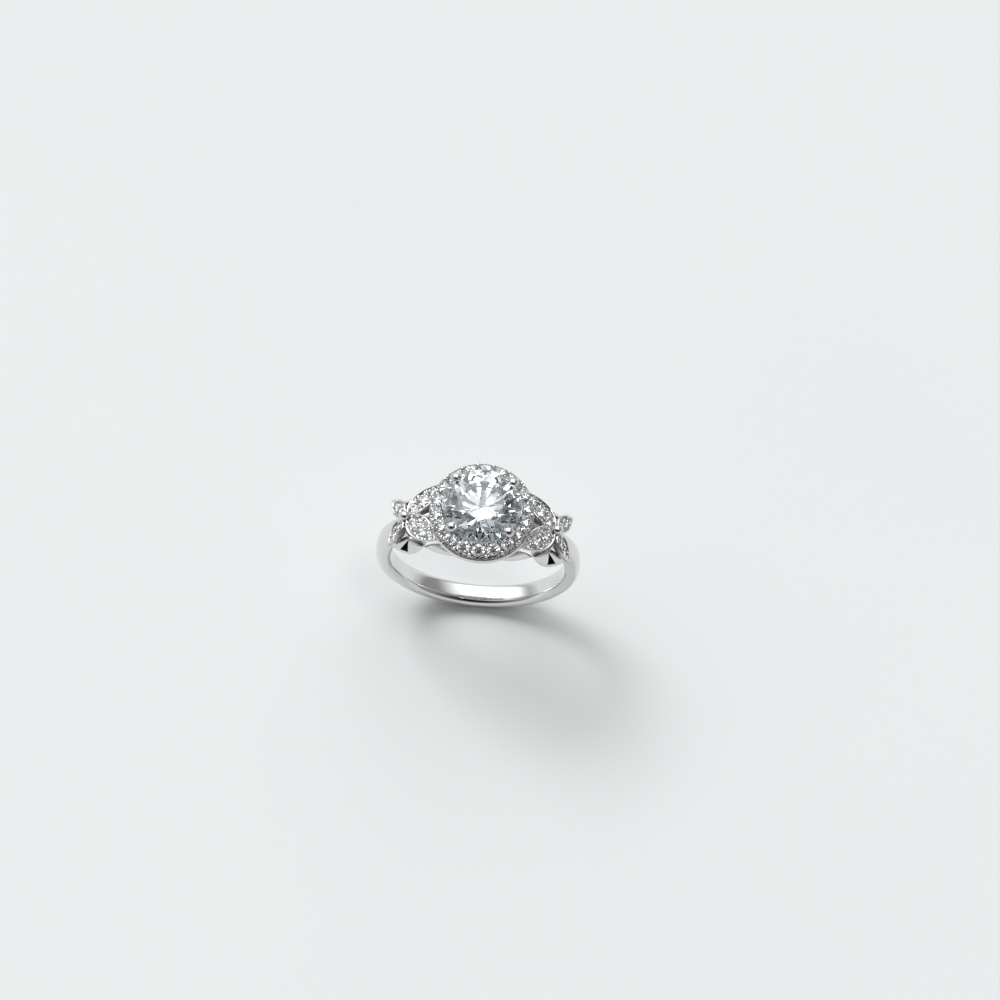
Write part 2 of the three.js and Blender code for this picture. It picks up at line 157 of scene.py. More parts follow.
SIDES = {"right": 1, "left": -1}
ENDS = {"front": 1, "back": -1}
FAR = 9  # past the end of any shoulder piece
Z_TO_X = Matrix.Rotation(math.pi / 2, 4, "Y")


# ---------------------------------------------------------------- camera
CAMERA_ELEVATION = 64.7
CAMERA_ROLL = 5.3
CAMERA_DISTANCE = 350.0
CAMERA_LENS = 133.0
CAMERA_ASIDE = (1.67, 0.54)  # how far the view's centre lies right of and above the centre stone


def make_camera():
    camera = bpy.data.objects.new("camera", bpy.data.cameras.new("camera"))
    bpy.context.collection.objects.link(camera)
    tilt = Matrix.Rotation(math.radians(90 - CAMERA_ELEVATION), 4, "X")
    turn = tilt @ Matrix.Rotation(math.radians(CAMERA_ROLL), 4, "Z")
    right, up, back = (turn.to_3x3().col[i] for i in range(3))
    place = Vector((0, 0, GIRDLE_Z)) + back * CAMERA_DISTANCE
    place += right * CAMERA_ASIDE[0] + up * CAMERA_ASIDE[1]
    camera.matrix_world = Matrix.Translation(place * MM) @ turn
    camera.data.lens = CAMERA_LENS
    camera.data.clip_start = 0.01
    bpy.context.scene.camera = camera


make_camera()


# ---------------------------------------------------------------- mesh helpers
def polar(radius, angle, z):
    return Vector((radius * math.cos(angle), radius * math.sin(angle), z))


def frame_at(origin, along, up):
    """A place whose X runs along `along` and whose Z is as near `up` as it can be."""
    x = along.normalized()
    y = up.cross(x).normalized()
    z = x.cross(y)
    turn = Matrix((x, y, z)).transposed().to_4x4()
    return Matrix.Translation(origin) @ turn


def mirrored(side, end):
    return Matrix.Diagonal((side, end, 1, 1))


def as_mesh(bm, name):
    mesh = bpy.data.meshes.new(name)
    bm.to_mesh(mesh)
    bm.free()
    return mesh


def linked(mesh, name):
    piece = bpy.data.objects.new(name, mesh)
    bpy.context.collection.objects.link(piece)
    return piece


def carved(body, tool):
    """The body with the tool cut away, as a new bmesh. Both are used up."""
    whole = linked(as_mesh(body, "carved_body"), "carved_body")
    cutter = linked(as_mesh(tool, "carved_tool"), "carved_tool")
    cut = whole.modifiers.new("cut", "BOOLEAN")
    cut.operation = "DIFFERENCE"
    cut.solver = "EXACT"
    cut.object = cutter
    bpy.context.view_layer.update()
    result = bmesh.new()
    result.from_object(whole, bpy.context.evaluated_depsgraph_get())
    for piece in (whole, cutter):
        bpy.data.objects.remove(piece)
    return result


def add_mesh(bm, mesh, matrix):
    """Adds a copy of a finished mesh to a bmesh."""
    copy = mesh.copy()
    copy.transform(matrix)
    bm.from_mesh(copy)
    bpy.data.meshes.remove(copy)


def spun(bm, profile, steps, closed=True):
    """Turns a profile of (radius, height) pairs once round the Z axis."""
    verts = [bm.verts.new((r, 0, h)) for r, h in profile]
    pairs = list(zip(verts, verts[1:]))
    if closed:
        pairs.append((verts[-1], verts[0]))
    edges = [bm.edges.new(pair) for pair in pairs]
    bmesh.ops.spin(bm, geom=verts + edges, cent=(0, 0, 0), axis=(0, 0, 1), dvec=(0, 0, 0),
                   angle=math.tau, steps=steps, use_merge=True)
    bmesh.ops.remove_doubles(bm, verts=bm.verts, dist=1e-5)
    bmesh.ops.recalc_face_normals(bm, faces=bm.faces)


def lofted(bm, rings):
    """Joins rings of points, each with as many points as the last, and closes both ends."""
    loops = []
    for ring in rings:
        verts = [bm.verts.new(point) for point in ring]
        loops.append([bm.edges.new(pair) for pair in zip(verts, verts[1:] + verts[:1])])
    for low, high in zip(loops, loops[1:]):
        bmesh.ops.bridge_loops(bm, edges=low + high)
    for end in (loops[0], loops[-1]):
        bmesh.ops.contextual_create(bm, geom=end)
    bmesh.ops.recalc_face_normals(bm, faces=bm.faces)


def finished(bm, name, nodes, materials, sharp=30, matrix=None):
    """Turns a bmesh in millimetres into a piece of the ring. Edges over `sharp` degrees stay crisp."""
    bmesh.ops.remove_doubles(bm, verts=bm.verts, dist=1e-4)
    bmesh.ops.transform(bm, matrix=(matrix or Matrix()), verts=bm.verts)
    bmesh.ops.recalc_face_normals(bm, faces=bm.faces)
    bmesh.ops.scale(bm, vec=(MM, MM, MM), verts=bm.verts)
    mesh = as_mesh(bm, name)
    piece = linked(mesh, name)
    for material in materials:
        mesh.materials.append(material)
    if sharp:
        mesh.shade_smooth()
        mesh.set_sharp_from_angle(angle=math.radians(sharp))
    else:
        mesh.shade_flat()
    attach(piece, "root")
    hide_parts(*nodes)
    return piece


def repaint(piece, place, low, high, index):
    """Gives the faces whose centres lie in a box, measured from a place, another of the piece's finishes."""
    inward = place.inverted()
    for polygon in piece.data.polygons:
        spot = inward @ (polygon.center / MM)
        if all(low[i] < spot[i] < high[i] for i in range(3)):
            polygon.material_index = index


# ---------------------------------------------------------------- materials
class Wire:
    """A shader socket that takes part in Python sums."""

    def __init__(self, shader, socket):
        self.shader = shader
        self.socket = socket

    def worked(self, operation, *values):
        return self.shader.node("ShaderNodeMath", {"operation": operation}, dict(enumerate(values)))

    def __add__(self, other):
        return self.worked("ADD", self, other)

    def __radd__(self, other):
        return self.worked("ADD", other, self)

    def __mul__(self, other):
        return self.worked("MULTIPLY", self, other)

    def __rmul__(self, other):
        return self.worked("MULTIPLY", other, self)


class Shader:
    """A node tree, and the one way its nodes are added."""

    def __init__(self, owner):
        owner.use_nodes = True
        self.tree = owner.node_tree

    def set(self, node, values):
        for name, value in values.items():
            if isinstance(value, Wire):
                self.tree.links.new(value.socket, node.inputs[name])
            else:
                node.inputs[name].default_value = value

    def node(self, kind, settings=None, values=None, output=0):
        node = self.tree.nodes.new(kind)
        for name, value in (settings or {}).items():
            setattr(node, name, value)
        self.set(node, values or {})
        return Wire(self, node.outputs[output])

    def ramp(self, value, low, high, from_value, to_value):
        """Eases from one value to another while the input goes from low to high."""
        return self.node("ShaderNodeMapRange", {"interpolation_type": "SMOOTHSTEP"},
                         {"Value": value, "From Min": low, "From Max": high,
                          "To Min": from_value, "To Max": to_value})


class Finish(Shader):
    """A material whose patterns lie in millimetres on the piece."""

    def __init__(self, name):
        self.material = bpy.data.materials.new(name)
        super().__init__(self.material)
        self.surface = self.tree.nodes["Principled BSDF"]
        self.place = self.node("ShaderNodeTexCoord", output="Object")

    def noise(self, size_mm, detail=2.0, stretch=(1, 1, 1)):
        """A 0 to 1 pattern whose features are about size_mm across."""
        where = self.node("ShaderNodeMapping", {}, {"Vector": self.place, "Scale": stretch})
        return self.node("ShaderNodeTexNoise", {},
                         {"Vector": where, "Scale": 1 / (size_mm * MM), "Detail": detail})

    def cells(self, size_mm):
        """Flat-sided dimples about size_mm across, each sloping to a point, as a graver leaves them."""
        return self.node("ShaderNodeTexVoronoi", {"feature": "F1"},
                         {"Vector": self.place, "Scale": 1 / (size_mm * MM)})

    def blend(self, first, second, factor):
        return self.node("ShaderNodeMix", {"data_type": "RGBA"},
                         {0: factor, 6: (*first, 1), 7: (*second, 1)}, 2)

    def bump(self, height, strength, depth_mm):
        return self.node("ShaderNodeBump", {},
                         {"Height": height, "Strength": strength, "Distance": depth_mm * MM})

    def made(self, **values):
        """The material, its surface given these values under the names its sockets have."""
        self.set(self.surface, {name.replace("_", " "): value for name, value in values.items()})
        return self.material


def polished_metal(name, light, shade, roughness):
    """Rhodium-plated white metal with a hand polish: faint ripples, hairlines and duller patches."""
    finish = Finish(name)
    patches = finish.noise(1.6)
    hairlines = finish.noise(0.35, 3.0, (1, 0.06, 1))
    ripple = finish.noise(0.9, 1.0)
    height = ripple * 0.7 + hairlines * 0.3
    return finish.made(
        Base_Color=finish.blend(light, shade, patches),
        Metallic=1.0,
        Roughness=patches * roughness * 0.6 + hairlines * roughness * 0.5 + roughness * 0.4,
        Normal=finish.bump(height, 0.25, 0.012),
    )


def painted_shade_metal(name, dark, light):
    """Unpolished metal whose colour is painted dark for the shade that falls in deep places and under the
    wings.
    """
    finish = Finish(name)
    grit = finish.noise(0.12, 4.0)
    patches = finish.noise(0.7)
    return finish.made(
        Base_Color=finish.blend(dark, light, patches),
        Metallic=1.0,
        Roughness=0.45 + grit * 0.25,
        Normal=finish.bump(grit, 0.5, 0.02),
    )


def seat_metal(name, dark, light):
    """Bright-cut but unbuffed metal between the stones, with graver cuts as bump. Its colour is painted
    darker, in random patches, for the shade between the stones.
    """
    finish = Finish(name)
    patches = finish.noise(0.4)
    cuts = finish.cells(0.3)
    return finish.made(
        Base_Color=finish.blend(dark, light, patches),
        Metallic=1.0,
        Roughness=0.12 + patches * 0.16,
        Normal=finish.bump(cuts, 1.0, 0.16),
    )


def gemstone(name, clear, tint, cloud_mm):
    """A clear faceted stone, its colour shifting slightly through it to a tint painted in for bluish
    reflected light.
    """
    finish = Finish(name)
    cloud = finish.noise(cloud_mm, 1.0)
    return finish.made(
        Base_Color=finish.blend(clear, tint, cloud),
        Roughness=cloud * 0.012,
        IOR=2.4,
        Transmission_Weight=1.0,
    )


POLISHED = polished_metal("polished_rhodium", (0.8, 0.8, 0.79), (0.66, 0.66, 0.65), 0.12)
BAND_METAL = polished_metal("polished_band", (0.82, 0.82, 0.81), (0.72, 0.72, 0.71), 0.14)
# Painted darker than the other polished metal, as the dark reflection seen in the claws' cores; the head and
# the butterfly beads share it.
CLAW_METAL = polished_metal("polished_claws", (0.7, 0.7, 0.69), (0.6, 0.6, 0.59), 0.06)
# The seats' dark colours are painted shade between the stones, darkest on the halo.
SEATS = seat_metal("bright_cut_seats", (0.35, 0.35, 0.35), (0.75, 0.75, 0.74))
HALO_SEATS = seat_metal("halo_cut_seats", (0.16, 0.16, 0.16), (0.6, 0.6, 0.59))
# Near-black painted shadow for the leaf's three-cornered pocket, where the hollow behind it lies in shade.
POCKET_SHADOW = painted_shade_metal("painted_shadow_pocket", (0.03, 0.03, 0.032), (0.1, 0.1, 0.105))
# Dark grey painted shade for the wings' walls and undersides, in the gaps under the wings.
SHADED_WALLS = painted_shade_metal("painted_shade_walls", (0.2, 0.2, 0.195), (0.42, 0.42, 0.41))
# The centre stone's blue tint is painted reflected light; the stone itself is clear.
CENTRE_GEM = gemstone("centre_gem", (0.99, 1.0, 1.0), (0.74, 0.9, 0.97), 1.6)
SMALL_GEM = gemstone("small_gems", (1.0, 1.0, 1.0), (0.93, 0.95, 0.98), 0.8)


# ---------------------------------------------------------------- stones
def cut_flat(bm, point, outward):
    """Cuts a flat through `point` that faces `outward`."""
    cut = bmesh.ops.bisect_plane(bm, geom=bm.verts[:] + bm.edges[:] + bm.faces[:], dist=1e-6,
                                 plane_co=point, plane_no=outward, clear_outer=True)
    edges = [part for part in cut["geom_cut"] if isinstance(part, bmesh.types.BMEdge)]
    if len(edges) > 2:
        bmesh.ops.contextual_create(bm, geom=edges)


def cut_through(bm, a, b, c):
    """Cuts the flat that holds three points of a stone round the origin."""
    outward = (b - a).cross(c - a)
    if outward.dot(a) < 0:
        outward.negate()
    cut_flat(bm, a, outward)


def brilliant(sides):
    """A full-cut round brilliant of radius 1, its girdle centred on the origin."""
    half = GIRDLE
    crown = (1 - TABLE) * math.tan(CROWN_ANGLE)
    depth = math.tan(PAVILION_ANGLE)
    eighth = math.tau / 8
    star_z = half + (1 - STAR * math.cos(eighth / 2)) * math.tan(CROWN_ANGLE)
    tail_z = -half - (1 - LOWER_HALF * math.cos(eighth / 2)) * math.tan(PAVILION_ANGLE)
    bm = bmesh.new()
    bmesh.ops.create_cone(bm, cap_ends=True, segments=sides, radius1=1, radius2=1,
                          depth=crown + depth + 2 * half,
                          matrix=Matrix.Translation((0, 0, (crown - depth) / 2)))
    for i in range(8):
        main = i * eighth
        between = main + eighth / 2
        upward = polar(math.sin(CROWN_ANGLE), main, math.cos(CROWN_ANGLE))
        downward = polar(math.sin(PAVILION_ANGLE), main, -math.cos(PAVILION_ANGLE))
        cut_flat(bm, polar(1, main, half), upward)
        cut_flat(bm, polar(1, main, -half), downward)
        star_tip = polar(STAR, between, star_z)
        tail_tip = polar(LOWER_HALF, between, tail_z)
        corner = polar(TABLE, main, half + crown)
        cut_through(bm, star_tip, corner, polar(TABLE, main + eighth, half + crown))
        for end in (main, main + eighth):
            cut_through(bm, star_tip, polar(1, between, half), polar(1, end, half))
            cut_through(bm, tail_tip, polar(1, between, -half), polar(1, end, -half))
    bmesh.ops.recalc_face_normals(bm, faces=bm.faces)
    return as_mesh(bm, "brilliant")


def set_stone(cut, node, diameter, matrix, material):
    """One cut stone in its seat. It shows in place of the node."""
    bm = bmesh.new()
    add_mesh(bm, cut, matrix @ Matrix.Scale(diameter / 2, 4))
    return finished(bm, node.replace("stone", "brilliant"), [node], [material], sharp=0)


def seat_tool(diameter):
    """The shape cut away for a stone: straight past the girdle, then tapering to a hole in the back."""
    r = diameter / 2 + SEAT_ROOM
    hole = r * 0.3
    floor = -GIRDLE * r - 0.03
    tail = floor - (r - hole) * math.tan(PAVILION_ANGLE + 0.07)
    below = [(0, -SEAT_REACH), (hole, -SEAT_REACH), (hole, tail), (r, floor)]
    above = [(r, SEAT_REACH), (0, SEAT_REACH)]
    bm = bmesh.new()
    spun(bm, below + above, 32, closed=False)
    return as_mesh(bm, "seat_tool")


# ---------------------------------------------------------------- shank
def superellipse(angle, power):
    c = math.cos(angle)
    s = math.sin(angle)
    return math.copysign(abs(c) ** (2 / power), c), math.copysign(abs(s) ** (2 / power), s)


def smoothstep(value, low, high):
    t = min(max((value - low) / (high - low), 0), 1)
    return t * t * (3 - 2 * t)


def shank_section(count):
    """Points round the band's section: 1 plus the share of the wall, and the share of half the width."""
    section = []
    for k in range(count):
        angle = math.tau * k / count
        power = INSIDE_POWER if math.sin(angle) < 0 else OUTSIDE_POWER
        across, out = superellipse(angle, power)
        section.append((1 + (1 + out) / 2, across))
    return section


def make_shank():
    """A rounded band, thicker and narrower under the butterflies."""
    bm = bmesh.new()
    verts = [bm.verts.new((wall, across, 0)) for wall, across in shank_section(36)]
    edges = [bm.edges.new(pair) for pair in zip(verts, verts[1:] + verts[:1])]
    turn = Matrix.Rotation(-(math.pi / 2 + SHANK_OPEN), 4, "Y")
    bmesh.ops.transform(bm, matrix=turn, verts=verts)
    bmesh.ops.contextual_create(bm, geom=edges)
    bmesh.ops.spin(bm, geom=verts + edges, cent=(0, 0, 0), axis=(0, 1, 0), dvec=(0, 0, 0),
                   angle=-(math.tau - 2 * SHANK_OPEN), steps=200, use_merge=False)
    bmesh.ops.holes_fill(bm, edges=[e for e in bm.edges if e.is_boundary])
    for vert in bm.verts:
        angle = math.atan2(vert.co.z, vert.co.x)
        rise = smoothstep(math.sin(angle), SHOULDER_STARTS, SHOULDER_FULL)
        wall = SHANK_T + (SHOULDER_T - SHANK_T) * rise
        half = SHANK_HALF_W + (SHOULDER_HALF_W - SHANK_HALF_W) * rise
        share = math.hypot(vert.co.x, vert.co.z) - 1
        r = FINGER_R + share * wall
        vert.co = Vector((r * math.cos(angle), vert.co.y * half, r * math.sin(angle)))
    return finished(bm, "band", ["shank"], [BAND_METAL], sharp=40)


# ---------------------------------------------------------------- basket
def rail(bm, radius, half, low, high, round_off):
    """A ring round the Z axis whose section is a rounded box."""
    flat = half - round_off
    tall = (high - low) / 2 - round_off
    middle = (low + high) / 2
    profile = []
    for quarter, (out, up) in enumerate(((1, 1), (-1, 1), (-1, -1), (1, -1))):
        for k in range(5):
            corner = polar(round_off, (quarter + k / 4) * math.pi / 2, 0)
            profile.append((radius + out * flat + corner.x, middle + up * tall + corner.y))
    spun(bm, profile, 96)


def prong(bm, angle):
    """One prong: out from the base rail, up past the girdle, and over the stone as a round claw."""
    steps = 14
    foot = polar(RAIL_R + 0.1, angle, PRONG_FOOT_Z)
    knee = polar(RAIL_R + 0.7, angle, PRONG_FOOT_Z + 1.5)
    neck = polar(CLAW_AT + 0.1, angle, GIRDLE_Z - 1)
    top = polar(CLAW_AT + 0.06, angle, GIRDLE_Z + CLAW_UP)
    path = interpolate_bezier(foot, knee, neck, top, steps)
    side = polar(1, angle + math.pi / 2, 0)
    rings = []
    for k, point in enumerate(path):
        ahead = (path[min(k + 1, steps - 1)] - path[max(k - 1, 0)]).normalized()
        outward = side.cross(ahead)
        ring = (polar(PRONG_R, math.tau * i / 16, 0) for i in range(16))
        rings.append([point + side * p.x + outward * p.y for p in ring])
    rod = bmesh.new()
    lofted(rod, rings)
    add_mesh(bm, as_mesh(rod, "rod"), Matrix())
    claw = Matrix.Translation(polar(CLAW_AT, angle, GIRDLE_Z + CLAW_UP)) @ Matrix.Rotation(angle, 4, "Z")
    leaning = Matrix.Rotation(0.5, 4, "Y") @ Matrix.Diagonal((1.04, 1, 0.86, 1))
    bmesh.ops.create_uvsphere(bm, u_segments=32, v_segments=20, radius=CLAW_R, matrix=claw @ leaning)


def prong_angles():
    return [PRONG_ANGLE, math.pi - PRONG_ANGLE, math.pi + PRONG_ANGLE, -PRONG_ANGLE]


def make_head():
    bm = bmesh.new()
    rail(bm, RAIL_R, RAIL_HALF, RAIL_LOW, RAIL_HIGH, RAIL_ROUND)
    rail(bm, BASKET_R, BASKET_HALF, BASKET_Z - BASKET_HALF_TALL, BASKET_Z + BASKET_HALF_TALL, BASKET_ROUND)
    for angle in prong_angles():
        prong(bm, angle)
    return finished(bm, "four_prong_head", ["prong_head"], [CLAW_METAL], sharp=45)


# ---------------------------------------------------------------- halo
def halo_angles():
    """Five stones in front, five behind, four at each side."""
    angles = []
    for middle in (-90, 90):
        angles += [math.radians(middle + k * FRONT_STEP) for k in (-2, -1, 0, 1, 2)]
    for middle in (0, 180):
        angles += [math.radians(middle + k * SIDE_STEP) for k in (-1.5, -0.5, 0.5, 1.5)]
    return angles


def halo_face_z(radius):
    """Height of the sloping face at a distance from the stone's axis."""
    return GIRDLE_Z + HALO_TOP - (radius - HALO_IN) * math.tan(HALO_SLOPE)


def halo_place(angle, radius=HALO_R):
    """A place in the halo's sloping face, X pointing down the slope."""
    down = polar(math.cos(HALO_SLOPE), angle, -math.sin(HALO_SLOPE))
    out = polar(math.sin(HALO_SLOPE), angle, math.cos(HALO_SLOPE))
    return frame_at(polar(radius, angle, halo_face_z(radius)), down, out)


def halo_profile():
    """The ring's section, from the foot of its wall out round the polished rim and up to the face."""
    wall = HALO_OUT - HALO_WALL
    rim = HALO_OUT + HALO_RIM
    foot = GIRDLE_Z + HALO_FOOT
    edge = GIRDLE_Z + HALO_EDGE
    top = GIRDLE_Z + HALO_TOP
    return [
        (wall, foot), (HALO_OUT - 0.05, foot), (rim - 0.02, foot + 0.06),
        (rim, foot + 0.14), (rim, foot + 0.56), (rim - 0.02, foot + 0.62),
        (rim - 0.07, foot + 0.66), (HALO_OUT - 0.04, foot + 0.69),
        (HALO_OUT - 0.03, edge - 0.05), (HALO_OUT, edge), (HALO_IN + 0.03, top),
        (HALO_IN, top - 0.03), (HALO_IN, top - HALO_INNER_EDGE), (wall, edge - HALO_UNDERSIDE),
    ]


def below_halo_face(spot):
    """Whether a point lies in the sloping face, or in the seats and cuts sunk into it."""
    radius = math.hypot(spot.x, spot.y)
    in_face = HALO_IN + 0.02 < radius < HALO_OUT + 0.001
    return in_face and -0.5 < spot.z - halo_face_z(radius) < 0.04


def drawn_out(corners, reach):
    """A flat shape, given by its corners, drawn out by a vector."""
    bm = bmesh.new()
    outline = [bm.verts.new(corner) for corner in corners]
    bmesh.ops.extrude_face_region(bm, geom=[bm.faces.new(outline)])
    bm.verts.ensure_lookup_table()
    bmesh.ops.translate(bm, vec=reach, verts=bm.verts[len(outline):])
    bmesh.ops.recalc_face_normals(bm, faces=bm.faces)
    return bm


def notch_tool():
    """A V cut across the halo's outer edge below a stone."""
    start, wide, up, down = NOTCH
    corners = [(start, -wide, up), (start, wide, up), (start, 0, -down)]
    return as_mesh(drawn_out(corners, (NOTCH_LENGTH, 0, 0)), "notch_tool")


def grain(bm, matrix, radius):
    """A small raised bead that holds a stone's edge."""
    bmesh.ops.create_uvsphere(bm, u_segments=10, v_segments=6, radius=radius, matrix=matrix)


def make_halo():
    bm = bmesh.new()
    spun(bm, halo_profile(), 288)
    for tool in (seat_tool(HALO_D), notch_tool()):
        tools = bmesh.new()
        for angle in halo_angles():
            add_mesh(tools, tool, halo_place(angle))
        bm = carved(bm, tools)
    ordered = sorted(angle % math.tau for angle in halo_angles())
    for one, two in zip(ordered, ordered[1:] + [ordered[0] + math.tau]):
        middle = (one + two) / 2
        wide = (two - one) * HALO_R - HALO_D > WIDE_BREAK
        for outward, size in HALO_GRAINS:
            radius = HALO_R + outward
            for shift in ((-GRAIN_SHIFT, GRAIN_SHIFT) if wide else (0,)):
                grain(bm, halo_place(middle + shift / radius, radius), size)
    halo = finished(bm, "halo_setting", ["halo_plate"], [POLISHED, HALO_SEATS], sharp=32)
    # The halo's face between its stones gets the seats' painted shade.
    for polygon in halo.data.polygons:
        corners = [halo.data.vertices[i].co / MM for i in polygon.vertices]
        if all(below_halo_face(corner) for corner in corners):
            polygon.material_index = 1
    return halo


# ---------------------------------------------------------------- wings
def wing_length(wing):
    return (wing["tip"] - HUB).length - wing["start"]


def wing_outline(wing, inset):
    """Points round a wing, from its blunt base at X 0 to its sharp tip, and back."""
    length = wing_length(wing)
    half = wing["width"] / 2 - inset
    base = wing["base"] / 2 - inset * 0.45
    tip = Vector((length - inset * 2.4, 0, 0))
    edges = []
    for side in (-1, 1):
        start = Vector((inset, side * base, 0))
        first_pull = Vector((length * 0.12, side * half * 1.1, 0))
        last_pull = Vector((length * 0.55, side * half * 1.42, 0))
        edges.append(interpolate_bezier(start, first_pull, last_pull, tip, 22))
    low, high = edges
    return low + high[-2::-1]


def wing_frame(wing):
    along = (wing["tip"] - HUB).normalized()
    return frame_at(HUB + along * wing["start"], along, wing["facing"])


def stone_spots(wing):
    """Distance along the wing and diameter of each stone."""
    return [(along - wing["start"], diameter) for along, diameter in wing["stones"]]


def wing_plate(wing):
    """A thick petal with a rounded rim round a sunk field, seats for its stones and raised grains."""
    steps = [
        (0.22, -wing["thick"]), (0.04, -0.35), (0.0, -0.12), (0.008, -0.07), (0.03, -0.025), (0.06, 0.0),
        (0.09, 0.01), (0.12, 0.0), (0.148, -0.025), (WING_RIM - 0.005, -0.06), (WING_RIM, -WING_FIELD),
    ]
    bm = bmesh.new()
    rings = []
    for inset, z in steps:
        rings.append([point + Vector((0, 0, z)) for point in wing_outline(wing, inset)])
    lofted(bm, rings)
    tools = bmesh.new()
    for along, diameter in stone_spots(wing):
        add_mesh(tools, seat_tool(diameter), Matrix.Translation((along, 0, -WING_FIELD)))
    bm = carved(bm, tools)
    add_grains(bm, wing)
    return as_mesh(bm, "wing_plate")


def half_width(wing, x):
    """Half of the sunk field's width at a distance along the wing."""
    outline = wing_outline(wing, WING_RIM)
    return max((-point.y for point in outline if abs(point.x - x) < 0.15), default=0)


def add_grains(bm, wing):
    """Four grains round each stone, the way a setter raises them, shared where two stones meet."""
    stones = [(Vector((along, 0, 0)), diameter) for along, diameter in stone_spots(wing)]
    grain_z = Vector((0, 0, 0.02 - WING_FIELD))
    placed = []
    for middle, diameter in stones:
        for corner in (GRAIN_CORNER, -GRAIN_CORNER, math.pi - GRAIN_CORNER, math.pi + GRAIN_CORNER):
            spot = middle + polar(diameter / 2 + WING_GRAIN * 0.35, corner, 0)
            room = half_width(wing, spot.x) - WING_GRAIN * 0.5
            spot.y = max(min(spot.y, room), -room)
            clear_of_stones = all((spot - stone).length > width / 2 for stone, width in stones)
            apart = all((spot - other).length > WING_GRAIN * 1.2 for other in placed)
            if clear_of_stones and apart and room > 0:
                placed.append(spot)
                grain(bm, Matrix.Translation(spot + grain_z), WING_GRAIN)


def quarters():
    """The four places of a shoulder piece: the ending of its name, and the mirroring that puts it there."""
    for side_name, side in SIDES.items():
        for end_name, end in ENDS.items():
            yield f"{side_name}_{end_name}", mirrored(side, end)


def make_wing(kind, wing, plate, where, place):
    bm = bmesh.new()
    add_mesh(bm, plate, place)
    petal = finished(bm, f"{kind}_petal_{where}", [f"{kind}_wing_{where}"],
                     [POLISHED, SEATS, SHADED_WALLS])
    field = wing["width"] / 2 - WING_RIM
    # Below WALL_TOP the wing gets painted shade, and its sunk field the seats' painted shade between the
    # stones.
    repaint(petal, place, (-1, -FAR, -FAR), (FAR, FAR, WALL_TOP), 2)
    repaint(petal, place, (0.1, -field, 0.01 - wing["thick"]), (FAR, field, 0.01 - WING_FIELD), 1)


def make_wings(cut):
    for kind, wing in (("big", BIG_WING), ("small", SMALL_WING)):
        plate = wing_plate(wing)
        for where, quarter in quarters():
            place = quarter @ wing_frame(wing)
            make_wing(kind, wing, plate, where, place)
            for i, (along, diameter) in enumerate(stone_spots(wing), 1):
                spot = place @ Matrix.Translation((along, 0, -WING_FIELD))
                set_stone(cut, f"{kind}_wing_stone_{where}_{i}", diameter, spot, SMALL_GEM)


def make_butterfly_bodies():
    """A bright bead where the wings meet, with a short tail between the small wings."""
    length = (TAIL - HUB).length
    profile = interpolate_bezier(Vector((0.1, 0, 0)), Vector((TAIL_R * 1.5, 0, length * 0.35)),
                                 Vector((TAIL_R * 1.2, 0, length * 0.95)), Vector((0, 0, length)), 24)
    place = frame_at(HUB - BODY_UP * HUB_R / 2, TAIL - HUB, BODY_UP) @ Z_TO_X
    for side_name, side in SIDES.items():
        belly = bmesh.new()
        spun(belly, [(0, 0)] + [(p.x, p.z) for p in profile], 32, closed=False)
        bm = bmesh.new()
        bmesh.ops.create_uvsphere(bm, u_segments=40, v_segments=24, radius=HUB_R,
                                  matrix=Matrix.Translation(HUB))
        add_mesh(bm, as_mesh(belly, "belly"), place)
        finished(bm, f"butterfly_{side_name}", [f"butterfly_body_{side_name}"],
                 [CLAW_METAL], sharp=45, matrix=mirrored(side, 1))


# ---------------------------------------------------------------- side leaves
def curve_through(*points, steps=12):
    """A quadratic curve as its start, its pull point and its end."""
    start, pull, end = (Vector((x, y, 0)) for x, y in points)
    return interpolate_bezier(start, start.lerp(pull, 2 / 3), end.lerp(pull, 2 / 3), end, steps)[:-1]


def pierced_outline(half):
    return (curve_through((-half, 0), (-0.35, -0.6), (0.62, -0.95))
            + curve_through((0.62, -0.95), (1.4, -0.85), (half, 0))
            + curve_through((half, 0), (-0.1, 2.05), (-half, 0), steps=24))


def gallery_outline(half):
    return (curve_through((-half, 0), (0, -1.3), (half, -0.2), steps=24)
            + curve_through((half, 0.05), (0.2, 0.55), (-half, 0), steps=24))


def domed_leaf(leaf, outline):
    """A leaf whose face swells up from a rounded edge."""
    flat = outline((leaf["from"] - leaf["to"]).length / 2)
    middle = sum(flat, Vector()) / len(flat)
    steps = [
        (0.96, -leaf["thick"]), (1.0, -0.3), (1.0, -0.2), (0.985, -0.13), (0.95, -0.07),
        (0.88, -0.01), (0.76, 0.05), (0.6, 0.1), (0.4, 0.14), (0.2, 0.155),
    ]
    rings = []
    for share, z in steps:
        rings.append([middle.lerp(point, share) + Vector((0, 0, z)) for point in flat])
    bm = bmesh.new()
    lofted(bm, rings)
    return bm


def leaf_place(leaf):
    return frame_at(leaf["from"].lerp(leaf["to"], 0.5), leaf["to"] - leaf["from"], leaf["facing"])


def pierced_leaf():
    """The leaf with its three-cornered pocket, and the stem behind it."""
    pocket = drawn_out([(x, y, -POCKET) for x, y in POCKET_CORNERS], (0, 0, 2 * POCKET))
    body = carved(domed_leaf(PIERCED_LEAF, pierced_outline), pocket)
    bmesh.ops.transform(body, matrix=leaf_place(PIERCED_LEAF), verts=body.verts)
    along = STEM_TO - STEM_FROM
    stem = frame_at(STEM_FROM.lerp(STEM_TO, 0.5), along, PIERCED_LEAF["facing"]) @ Z_TO_X
    bmesh.ops.create_cone(body, cap_ends=True, segments=20, radius1=STEM_R, radius2=STEM_TOP_R,
                          depth=along.length + 2 * STEM_SUNK, matrix=stem)
    return as_mesh(body, "pierced_leaf")


